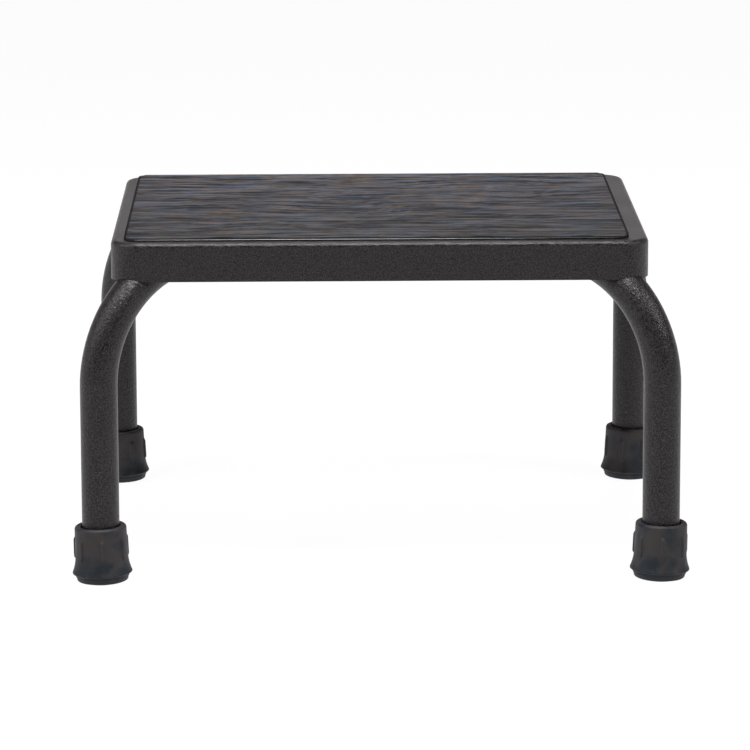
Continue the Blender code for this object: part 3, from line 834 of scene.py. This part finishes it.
def make_floor():
    """A plain floor, far larger than the stool: matt studio paint that gives most of its near
    white by its own glow, a little less far in front, so that the shadows on it stay faint."""
    bm = bmesh.new()
    bmesh.ops.create_grid(bm, x_segments=1, y_segments=1, size=FLOOR_HALF_SIZE)
    mesh = bpy.data.meshes.new("studio_floor")
    bm.to_mesh(mesh)
    bm.free()
    floor = bpy.data.objects.new("studio_floor", mesh)
    bpy.context.scene.collection.objects.link(floor)
    paint, tree, shader, place = new_material("matt white studio paint")
    split = add_node(tree, "ShaderNodeSeparateXYZ", {"Vector": place})
    glow = add_node(tree, "ShaderNodeMapRange", {
        "Value": split.outputs["Y"], "From Min": FLOOR_FADE[0], "From Max": FLOOR_FADE[1],
        "To Min": FLOOR_GLOW[0], "To Max": FLOOR_GLOW[1]}, interpolation_type="SMOOTHSTEP")
    tree.links.new(glow.outputs[0], shader.inputs["Emission Strength"])
    shader.inputs["Emission Color"].default_value = linear("#ffffff")
    shader.inputs["Base Color"].default_value = linear("#505050")
    shader.inputs["Roughness"].default_value = 0.9
    shader.inputs["Specular IOR Level"].default_value = 0.0
    mesh.materials.append(paint)


def make_light():
    """A white backdrop low behind the stool, a white rim at the floor's edge, dark elsewhere,
    and soft lights over it all."""
    world = bpy.data.worlds.new("white studio")
    bpy.context.scene.world = world
    world.use_nodes = True
    tree = world.node_tree
    way = add_node(tree, "ShaderNodeTexCoord").outputs["Generated"]
    split = add_node(tree, "ShaderNodeSeparateXYZ", {"Vector": way})
    behind = add_node(tree, "ShaderNodeMapRange", {
        "Value": split.outputs["Y"], "From Min": 0.4, "From Max": 0.95,
        "To Min": 0.0, "To Max": 1.0}, interpolation_type="SMOOTHSTEP")
    above = add_node(tree, "ShaderNodeMapRange", {
        "Value": split.outputs["Z"], "From Min": 0.2, "From Max": 0.45,
        "To Min": 0.68, "To Max": 0.0}, interpolation_type="SMOOTHSTEP")
    backdrop = add_node(tree, "ShaderNodeMath", {
        0: behind.outputs[0], 1: above.outputs[0]}, operation="MULTIPLY")
    horizon = add_node(tree, "ShaderNodeMapRange", {
        "Value": split.outputs["Z"], "From Min": 0.04, "From Max": 0.10,
        "To Min": 0.95, "To Max": 0.0}, interpolation_type="SMOOTHSTEP")
    level = add_node(tree, "ShaderNodeMath", {
        0: backdrop.outputs[0], 1: horizon.outputs[0]}, operation="MAXIMUM")
    background = tree.nodes["Background"]
    background.inputs["Color"].default_value = linear("#fffafa")
    tree.links.new(level.outputs[0], background.inputs["Strength"])
    for light in LIGHTS:
        area_light(*light)


def make_camera():
    """A long lens, a little left of the front and looking down on the mat."""
    back = Vector((
        math.sin(CAMERA_TURN) * math.cos(CAMERA_RISE),
        -math.cos(CAMERA_TURN) * math.cos(CAMERA_RISE),
        math.sin(CAMERA_RISE)))
    right = back.cross(Vector((0, 0, 1))).normalized() * -1
    up = back.cross(right)
    tilted_right = right * math.cos(CAMERA_ROLL) + up * math.sin(CAMERA_ROLL)
    tilted_up = up * math.cos(CAMERA_ROLL) - right * math.sin(CAMERA_ROLL)
    data = bpy.data.cameras.new("camera")
    data.sensor_width = CAMERA_SENSOR
    data.lens = CAMERA_LENS
    data.clip_end = CAMERA_RANGE
    camera = bpy.data.objects.new("camera", data)
    axes = Matrix((tilted_right, tilted_up, back)).transposed().to_4x4()
    camera.matrix_world = Matrix.Translation(CAMERA_AIM + back * CAMERA_DISTANCE) @ axes
    bpy.context.scene.collection.objects.link(camera)
    bpy.context.scene.camera = camera


def main():
    """Dress every part of the stool, then set the room."""
    bpy.context.scene.view_settings.view_transform = "Standard"
    coat = powder_coat()
    zinc = zinc_plate()
    make_pan(coat)
    make_mat(mat_rubber())
    make_leg_tube("leg_tube_upper", DIAGONAL_ANGLE, 1, coat)
    make_leg_tube("leg_tube_lower", -DIAGONAL_ANGLE, -1, coat)
    rubber = tip_rubber()
    for corner, side in CORNER_SIDES.items():
        make_tip(corner, side, rubber)
        make_bolt(corner, zinc)
        make_lock_washer(corner, zinc)
        for kind in ("saddle_washer", "weld_nut", "tip_disc"):
            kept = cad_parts[f"{kind}_{corner}"]
            kept.data.materials.clear()
            kept.data.materials.append(zinc)
    make_floor()
    make_light()
    make_camera()


main()
